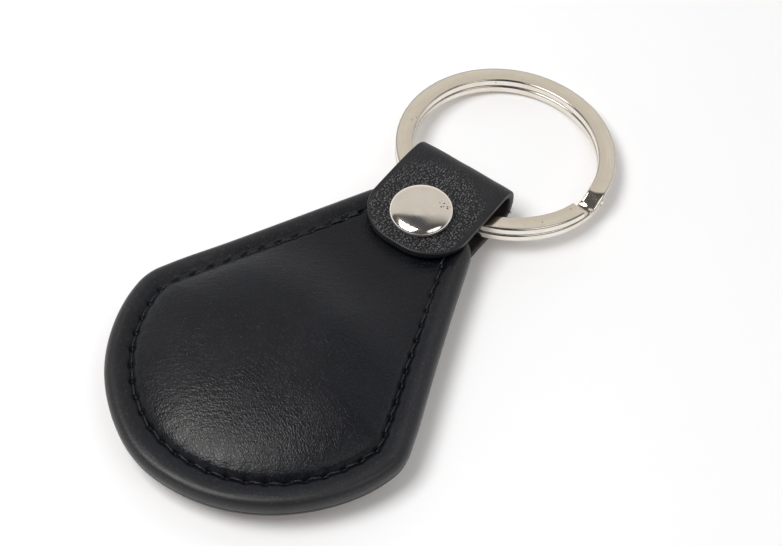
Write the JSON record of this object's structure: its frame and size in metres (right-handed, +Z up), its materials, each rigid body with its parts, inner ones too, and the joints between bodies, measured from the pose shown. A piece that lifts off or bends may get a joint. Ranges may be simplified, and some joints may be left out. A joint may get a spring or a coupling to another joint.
{
  "type": "key fob",
  "caption": "Teardrop leather key fob with puffed covers over a contactless tag, a stitched flange, a riveted leather strap loop and a flat-wire split ring.",
  "frame": {"origin": "on the surface the fob lies on, under the middle of its overall box", "axes": "+Z up through the front cover, +Y from the round end towards the strap and the split ring, +X to the right seen from above"},
  "size_m": [0.0432, 0.0828, 0.0085],
  "materials": {
    "black_leather": "fine creased grain, satin",
    "strap_leather": "pebbled grain, satin",
    "foam": "soft foam",
    "fibre_board": "pressed fibre board",
    "tag_plastic": "matte",
    "copper": "bare copper wire",
    "chip_resin": "moulded resin",
    "nickel": "polished nickel plate",
    "steel": "plated steel",
    "polished_steel": "polished, nickel plated"
  },
  "bodies": {
    "fob": {"front_cover": "black_leather", "rear_cover": "black_leather", "core_board": "fibre_board", "front_pad": "foam", "rear_pad": "foam", "tag_disc": "tag_plastic", "antenna_coil": "copper", "chip": "chip_resin"},
    "strap": {"strap": "strap_leather", "rivet_front_cap": "nickel", "rivet_barrel": "steel", "rivet_post": "steel", "rivet_rear_cap": "nickel"},
    "ring": {"split_ring": "polished_steel"}
  },
  "joints": [
    {"name": "strap_swivel", "type": "hinge", "parent": "fob", "child": "strap", "pos_m": [0, 0.00841, 0], "axis": [0, 0, 1], "range_deg": [-7, 5]},
    {"name": "ring_swing", "type": "hinge", "parent": "strap", "child": "ring", "pos_m": [-0.00028, 0.01221, 0.00425], "axis": [0.9973, 0.0732, 0], "range_deg": [-60, 80], "deforming": ["strap"]}
  ]
}
